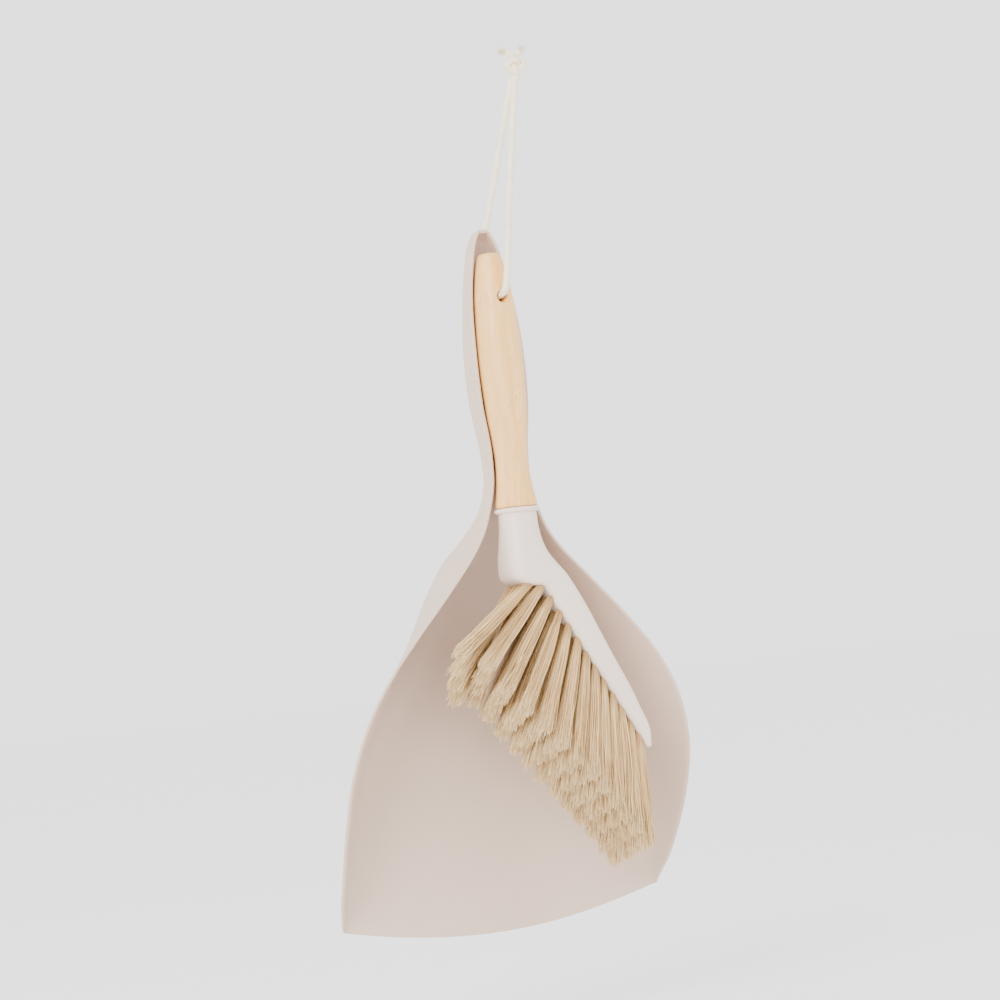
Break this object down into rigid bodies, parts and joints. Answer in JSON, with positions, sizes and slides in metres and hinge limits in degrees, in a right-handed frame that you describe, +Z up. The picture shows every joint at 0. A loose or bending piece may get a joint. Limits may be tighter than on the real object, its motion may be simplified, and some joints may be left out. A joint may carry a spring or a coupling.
{
  "type": "dustpan and brush set",
  "caption": "Curved scoop dustpan with a long channel handle that holds an angled wooden-handled hand brush, both strung on one knotted hanging cord.",
  "frame": {"origin": "where a hook bears, inside the cord's loop just under its knot", "axes": "+Z up along the brush's handle as the set hangs, the pan's open side faces -Y, +X to the right seen from the open side"},
  "size_m": [0.2124, 0.0888, 0.4846],
  "materials": {
    "pan_plastic": "satin moulded",
    "brush_plastic": "satin moulded",
    "pale_wood": "sanded and lightly lacquered",
    "bristle_fibre": "dry plant fibre",
    "anchor_wire": "drawn wire",
    "cotton_cord": "twisted cotton"
  },
  "bodies": {
    "pan": {"dustpan_shell": "pan_plastic", "cord_front_run": "cotton_cord", "cord_back_run": "cotton_cord", "cord_knot": "cotton_cord", "cord_tails": "cotton_cord"},
    "brush": {"wooden_handle": "pale_wood", "brush_head": "brush_plastic", "tuft_anchor_wires": "anchor_wire", "bristle_tufts_01": "bristle_fibre", "bristle_tufts_02": "bristle_fibre", "bristle_tufts_03": "bristle_fibre", "bristle_tufts_04": "bristle_fibre", "bristle_tufts_05": "bristle_fibre", "bristle_tufts_06": "bristle_fibre", "bristle_tufts_07": "bristle_fibre", "bristle_tufts_08": "bristle_fibre", "bristle_tufts_09": "bristle_fibre", "bristle_tufts_10": "bristle_fibre", "bristle_tufts_11": "bristle_fibre", "bristle_tufts_12": "bristle_fibre", "bristle_tufts_13": "bristle_fibre"}
  },
  "joints": [
    {"name": "brush_lift_out", "type": "slide", "parent": "pan", "child": "brush", "axis": [0, -1, 0], "range_m": [0, 0.06], "deforming": ["cord_front_run", "cord_back_run"]}
  ]
}
